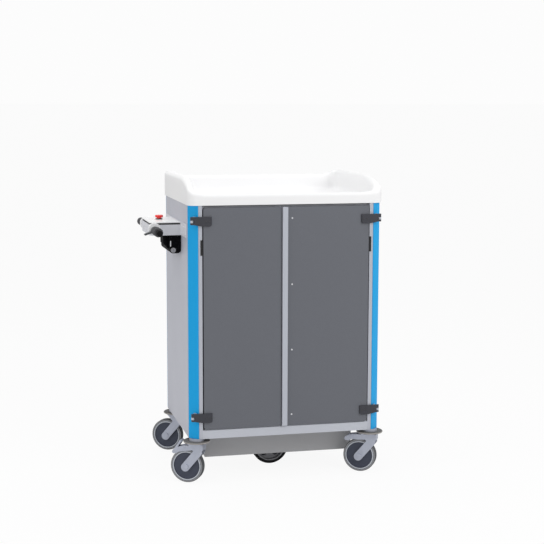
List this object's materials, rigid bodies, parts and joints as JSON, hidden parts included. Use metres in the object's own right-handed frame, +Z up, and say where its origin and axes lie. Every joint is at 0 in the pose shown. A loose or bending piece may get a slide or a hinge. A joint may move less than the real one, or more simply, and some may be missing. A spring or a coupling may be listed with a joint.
{
  "type": "linen distribution cart",
  "caption": "Enclosed linen distribution cart: two-door cabinet on swivel castors with a moulded top tray, a power-assist drive wheel and a push handle on one end.",
  "frame": {"origin": "on the floor, under the middle of the whole cart with its handle and bumpers", "axes": "+Z up; the doors face -Y; the push handle stands out towards -X"},
  "size_m": [1.1176, 0.736, 1.417],
  "materials": {
    "post_aluminium": "satin anodised",
    "strip_blue": "semi-gloss",
    "panel_grey": "fine satin",
    "door_grey": "fine satin",
    "board_grey": "satin",
    "shelf_steel": "brushed",
    "tray_white": "satin",
    "hinge_charcoal": "satin",
    "steel": "zinc plated",
    "black_rubber": "matte",
    "bumper_taupe": "matte",
    "fork_grey": "zinc plated, satin",
    "wheel_grey": "satin",
    "tyre_grey": "matte",
    "housing_grey": "satin",
    "console_grey": "satin",
    "cover_white": "satin",
    "button_red": "gloss",
    "grip_grey": "matte",
    "collar_white": "satin",
    "control_black": "gloss",
    "battery_black": "matte",
    "key_chrome": "polished"
  },
  "bodies": {
    "cabinet": {"corner_post_front_left": "post_aluminium", "corner_post_front_right": "post_aluminium", "corner_post_rear_left": "post_aluminium", "corner_post_rear_right": "post_aluminium", "corner_strips": "strip_blue", "side_panel_left": "panel_grey", "side_panel_right": "panel_grey", "back_panel": "board_grey", "floor_panel": "board_grey", "roof_panel": "board_grey", "front_rail": "post_aluminium", "base_rails": "post_aluminium", "centre_divider": "board_grey", "shelves": "shelf_steel", "shelf_runners": "post_aluminium", "top_tray": "tray_white", "hinge_blocks": "post_aluminium", "hinge_pins": "steel", "door_buffers": "black_rubber", "magnetic_catches": "hinge_charcoal", "bumper_discs": "bumper_taupe", "castor_plates": "steel", "drive_housing": "housing_grey", "drive_bracket": "steel", "battery_pack": "battery_black", "handle_bracket": "console_grey", "handle_console": "console_grey", "console_seal": "black_rubber", "console_cover": "cover_white", "button_base": "hinge_charcoal", "push_bar": "steel", "bar_collars": "collar_white", "bar_grips": "grip_grey", "control_box": "control_black"},
    "left_door": {"left_door_panel": "door_grey", "hinge_arms_left": "hinge_charcoal"},
    "right_door": {"right_door_panel": "door_grey", "centre_profile": "post_aluminium", "profile_rivets": "steel", "hinge_arms_right": "hinge_charcoal"},
    "swivel_front_left": {"castor_fork_front_left": "fork_grey"},
    "wheel_front_left": {"wheel_centre_front_left": "wheel_grey", "wheel_tyre_front_left": "tyre_grey"},
    "pedal_front_left": {"brake_pedal_front_left": "fork_grey"},
    "swivel_front_right": {"castor_fork_front_right": "fork_grey"},
    "wheel_front_right": {"wheel_centre_front_right": "wheel_grey", "wheel_tyre_front_right": "tyre_grey"},
    "pedal_front_right": {"brake_pedal_front_right": "fork_grey"},
    "swivel_rear_left": {"castor_fork_rear_left": "fork_grey"},
    "wheel_rear_left": {"wheel_centre_rear_left": "wheel_grey", "wheel_tyre_rear_left": "tyre_grey"},
    "swivel_rear_right": {"castor_fork_rear_right": "fork_grey"},
    "wheel_rear_right": {"wheel_centre_rear_right": "wheel_grey", "wheel_tyre_rear_right": "tyre_grey"},
    "drive_arm": {"drive_arm": "steel"},
    "drive_wheel": {"drive_rim": "wheel_grey", "drive_tyre": "tyre_grey"},
    "emergency_button": {"emergency_button": "button_red"},
    "speed_paddle": {"speed_paddle": "grip_grey"},
    "key_switch": {"key_switch": "key_chrome"}
  },
  "joints": [
    {"name": "left_door_hinge", "type": "hinge", "parent": "cabinet", "child": "left_door", "pos_m": [-0.36888, -0.3455, 0.772], "axis": [0, 0, -1], "range_deg": [0, 165]},
    {"name": "right_door_hinge", "type": "hinge", "parent": "cabinet", "child": "right_door", "pos_m": [0.52112, -0.3455, 0.772], "axis": [0, 0, 1], "range_deg": [0, 235]},
    {"name": "swivel_front_left_turn", "type": "hinge", "parent": "cabinet", "child": "swivel_front_left", "pos_m": [-0.34388, -0.3055, 0.2], "axis": [0, 0, 1], "continuous": true},
    {"name": "wheel_front_left_roll", "type": "hinge", "parent": "swivel_front_left", "child": "wheel_front_left", "pos_m": [-0.38285, -0.283, 0.079], "axis": [0.5, 0.866, 0], "continuous": true},
    {"name": "pedal_front_left_press", "type": "hinge", "parent": "swivel_front_left", "child": "pedal_front_left", "pos_m": [-0.35254, -0.3005, 0.17], "axis": [-0.5, -0.866, 0], "range_deg": [-8, 0]},
    {"name": "swivel_front_right_turn", "type": "hinge", "parent": "cabinet", "child": "swivel_front_right", "pos_m": [0.49612, -0.3055, 0.2], "axis": [0, 0, 1], "continuous": true},
    {"name": "wheel_front_right_roll", "type": "hinge", "parent": "swivel_front_right", "child": "wheel_front_right", "pos_m": [0.45715, -0.283, 0.079], "axis": [0.5, 0.866, 0], "continuous": true},
    {"name": "pedal_front_right_press", "type": "hinge", "parent": "swivel_front_right", "child": "pedal_front_right", "pos_m": [0.48746, -0.3005, 0.17], "axis": [-0.5, -0.866, 0], "range_deg": [0, 8]},
    {"name": "swivel_rear_left_turn", "type": "hinge", "parent": "cabinet", "child": "swivel_rear_left", "pos_m": [-0.34388, 0.2875, 0.2], "axis": [0, 0, 1], "continuous": true},
    {"name": "wheel_rear_left_roll", "type": "hinge", "parent": "swivel_rear_left", "child": "wheel_rear_left", "pos_m": [-0.38285, 0.31, 0.079], "axis": [0.5, 0.866, 0], "continuous": true},
    {"name": "swivel_rear_right_turn", "type": "hinge", "parent": "cabinet", "child": "swivel_rear_right", "pos_m": [0.49612, 0.2875, 0.2], "axis": [0, 0, 1], "continuous": true},
    {"name": "wheel_rear_right_roll", "type": "hinge", "parent": "swivel_rear_right", "child": "wheel_rear_right", "pos_m": [0.45715, 0.31, 0.079], "axis": [0.5, 0.866, 0], "continuous": true},
    {"name": "drive_arm_lift", "type": "hinge", "parent": "cabinet", "child": "drive_arm", "pos_m": [0.25412, -0.0425, 0.168], "axis": [0, 1, 0], "range_deg": [0, 9]},
    {"name": "drive_wheel_roll", "type": "hinge", "parent": "drive_arm", "child": "drive_wheel", "pos_m": [0.06412, -0.0425, 0.09], "axis": [0, 1, 0], "continuous": true},
    {"name": "emergency_button_press", "type": "slide", "parent": "cabinet", "child": "emergency_button", "axis": [0, 0, -1], "range_m": [0, 0.004], "stiffness_N_per_m": 1500},
    {"name": "speed_paddle_turn", "type": "hinge", "parent": "cabinet", "child": "speed_paddle", "pos_m": [-0.50788, -0.1601, 1.169], "axis": [0, 1, 0], "range_deg": [-20, 20], "stiffness_Nm_per_rad": 0.4},
    {"name": "key_switch_turn", "type": "hinge", "parent": "cabinet", "child": "key_switch", "pos_m": [-0.41888, -0.1245, 1.072], "axis": [0, 1, 0], "range_deg": [0, 90]}
  ]
}
